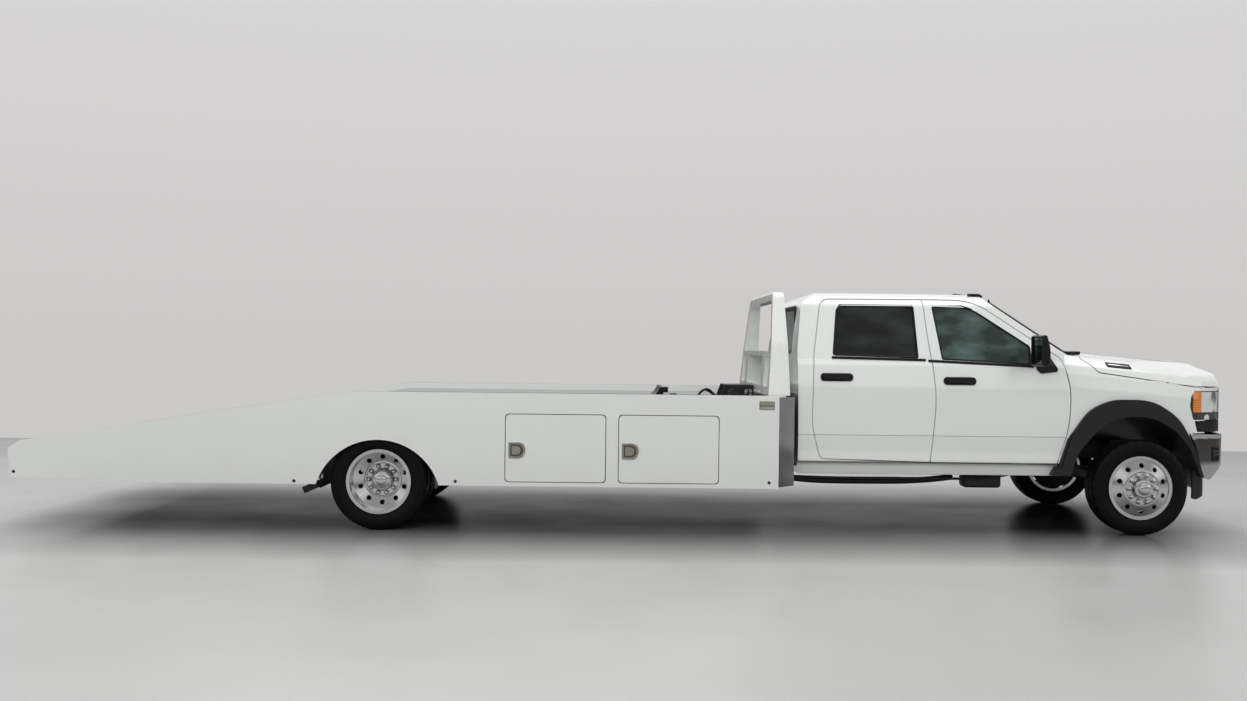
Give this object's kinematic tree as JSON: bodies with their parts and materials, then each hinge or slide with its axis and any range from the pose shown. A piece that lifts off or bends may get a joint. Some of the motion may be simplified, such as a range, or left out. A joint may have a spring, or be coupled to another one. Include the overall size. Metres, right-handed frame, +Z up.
{
  "type": "flatbed tow truck",
  "caption": "Crew cab truck with a long low flatbed body, side skirts with tool boxes, a headache rack and a winch.",
  "frame": {"origin": "on the ground below the middle of the overall length, on the centre plane", "axes": "+X forward, +Y to the truck's left, +Z up"},
  "size_m": [10.1244, 2.77, 2.015],
  "materials": {
    "body_paint": "gloss white paint",
    "bed_paint": "gloss white paint on steel",
    "deck_paint": "worn white paint on steel",
    "chassis_black": "satin black chassis paint",
    "chrome_trim": "bright chrome",
    "polished_wheel": "polished metal",
    "polished_steel": "polished stainless sheet",
    "tyre_rubber": "black rubber",
    "black_plastic": "grained black plastic",
    "stop_rubber": "black rubber",
    "window_glass": "dark tinted glass",
    "lamp_lens": "clear lens",
    "red_lens": "red lens",
    "seat_fabric": "grey woven cloth",
    "dash_plastic": "grained dark plastic",
    "exhaust_steel": "aluminised steel",
    "drum_steel": "bare steel"
  },
  "bodies": {
    "root": {"chassis_frame": "chassis_black", "front_axle": "chassis_black", "rear_axle": "chassis_black", "powertrain": "chassis_black", "fuel_tank": "black_plastic", "exhaust": "exhaust_steel", "cab_shell": "body_paint", "cab_glass": "window_glass", "seats": "seat_fabric", "dashboard": "dash_plastic", "roof_lamps": "black_plastic", "fenders": "body_paint", "fender_flares": "black_plastic", "headlamps": "lamp_lens", "front_trim": "black_plastic", "front_bumper": "chrome_trim", "bed_sills": "chassis_black", "bed_bearers": "chassis_black", "deck_runners": "deck_paint", "wheel_stop": "stop_rubber", "corner_guards": "polished_steel", "wheel_liners": "black_plastic", "headache_rack": "bed_paint", "winch_frame": "chassis_black", "tail_lamps": "red_lens", "skirt_l": "bed_paint", "skirt_r": "bed_paint", "tool_boxes_l": "chassis_black", "tool_boxes_r": "chassis_black"},
    "hood_body": {"hood": "body_paint"},
    "front_door_r": {"door_fr": "body_paint", "glass_fr": "window_glass", "mirror_fr": "black_plastic", "handle_fr": "black_plastic"},
    "front_door_l": {"door_fl": "body_paint", "glass_fl": "window_glass", "mirror_fl": "black_plastic", "handle_fl": "black_plastic"},
    "rear_door_r": {"door_rr": "body_paint", "glass_rr": "window_glass", "handle_rr": "black_plastic"},
    "rear_door_l": {"door_rl": "body_paint", "glass_rl": "window_glass", "handle_rl": "black_plastic"},
    "steer_knuckle_r": {"knuckle_r": "chassis_black"},
    "steer_knuckle_l": {"knuckle_l": "chassis_black"},
    "front_wheel_r": {"rim_fr": "polished_wheel", "tyre_fr": "tyre_rubber"},
    "front_wheel_l": {"rim_fl": "polished_wheel", "tyre_fl": "tyre_rubber"},
    "rear_wheels_r": {"rims_rr": "polished_wheel", "tyres_rr": "tyre_rubber"},
    "rear_wheels_l": {"rims_rl": "polished_wheel", "tyres_rl": "tyre_rubber"},
    "tool_door_r1": {"box_door_r1": "bed_paint"},
    "tool_door_r2": {"box_door_r2": "bed_paint"},
    "tool_door_l1": {"box_door_l1": "bed_paint"},
    "tool_door_l2": {"box_door_l2": "bed_paint"},
    "drum": {"winch_drum": "drum_steel"}
  },
  "joints": [
    {"name": "hood_hinge", "type": "hinge", "parent": "root", "child": "hood_body", "pos_m": [3.71033, 0, 1.51456], "axis": [0, -1, 0], "range_deg": [0, 45]},
    {"name": "front_door_r_hinge", "type": "hinge", "parent": "root", "child": "front_door_r", "pos_m": [3.56697, -1.005, 1], "axis": [0, 0, 1], "range_deg": [0, 65]},
    {"name": "front_door_l_hinge", "type": "hinge", "parent": "root", "child": "front_door_l", "pos_m": [3.56697, 1.005, 1], "axis": [0, 0, -1], "range_deg": [0, 65]},
    {"name": "rear_door_r_hinge", "type": "hinge", "parent": "root", "child": "rear_door_r", "pos_m": [2.4511, -1.005, 1], "axis": [0, 0, 1], "range_deg": [0, 65]},
    {"name": "rear_door_l_hinge", "type": "hinge", "parent": "root", "child": "rear_door_l", "pos_m": [2.4511, 1.005, 1], "axis": [0, 0, -1], "range_deg": [0, 65]},
    {"name": "steer_r", "type": "hinge", "parent": "root", "child": "steer_knuckle_r", "pos_m": [4.13744, -0.8, 0.392], "axis": [0, 0, 1], "range_deg": [-30, 30]},
    {"name": "steer_l", "type": "hinge", "parent": "root", "child": "steer_knuckle_l", "pos_m": [4.13744, 0.8, 0.392], "axis": [0, 0, 1], "range_deg": [-30, 30]},
    {"name": "wheel_fr_spin", "type": "hinge", "parent": "steer_knuckle_r", "child": "front_wheel_r", "pos_m": [4.13744, -0.95, 0.392], "axis": [0, 1, 0], "continuous": true},
    {"name": "wheel_fl_spin", "type": "hinge", "parent": "steer_knuckle_l", "child": "front_wheel_l", "pos_m": [4.13744, 0.95, 0.392], "axis": [0, 1, 0], "continuous": true},
    {"name": "wheels_rr_spin", "type": "hinge", "parent": "root", "child": "rear_wheels_r", "pos_m": [-2.09756, -0.9425, 0.392], "axis": [0, 1, 0], "continuous": true},
    {"name": "wheels_rl_spin", "type": "hinge", "parent": "root", "child": "rear_wheels_l", "pos_m": [-2.09756, 0.9425, 0.392], "axis": [0, 1, 0], "continuous": true},
    {"name": "tool_door_r1_hinge", "type": "hinge", "parent": "root", "child": "tool_door_r1", "pos_m": [0.64547, -1.22, 0.68], "axis": [0, 0, 1], "range_deg": [0, 100]},
    {"name": "tool_door_l1_hinge", "type": "hinge", "parent": "root", "child": "tool_door_l1", "pos_m": [0.64547, 1.22, 0.68], "axis": [0, 0, -1], "range_deg": [0, 100]},
    {"name": "tool_door_r2_hinge", "type": "hinge", "parent": "root", "child": "tool_door_r2", "pos_m": [-0.26648, -1.22, 0.68], "axis": [0, 0, 1], "range_deg": [0, 100]},
    {"name": "tool_door_l2_hinge", "type": "hinge", "parent": "root", "child": "tool_door_l2", "pos_m": [-0.26648, 1.22, 0.68], "axis": [0, 0, -1], "range_deg": [0, 100]},
    {"name": "winch_spin", "type": "hinge", "parent": "root", "child": "drum", "pos_m": [0.84944, 0, 1.101], "axis": [0, 1, 0], "continuous": true}
  ],
  "couplings": [
    {"joint": "steer_l", "follows": "steer_r", "ratio": 1}
  ]
}
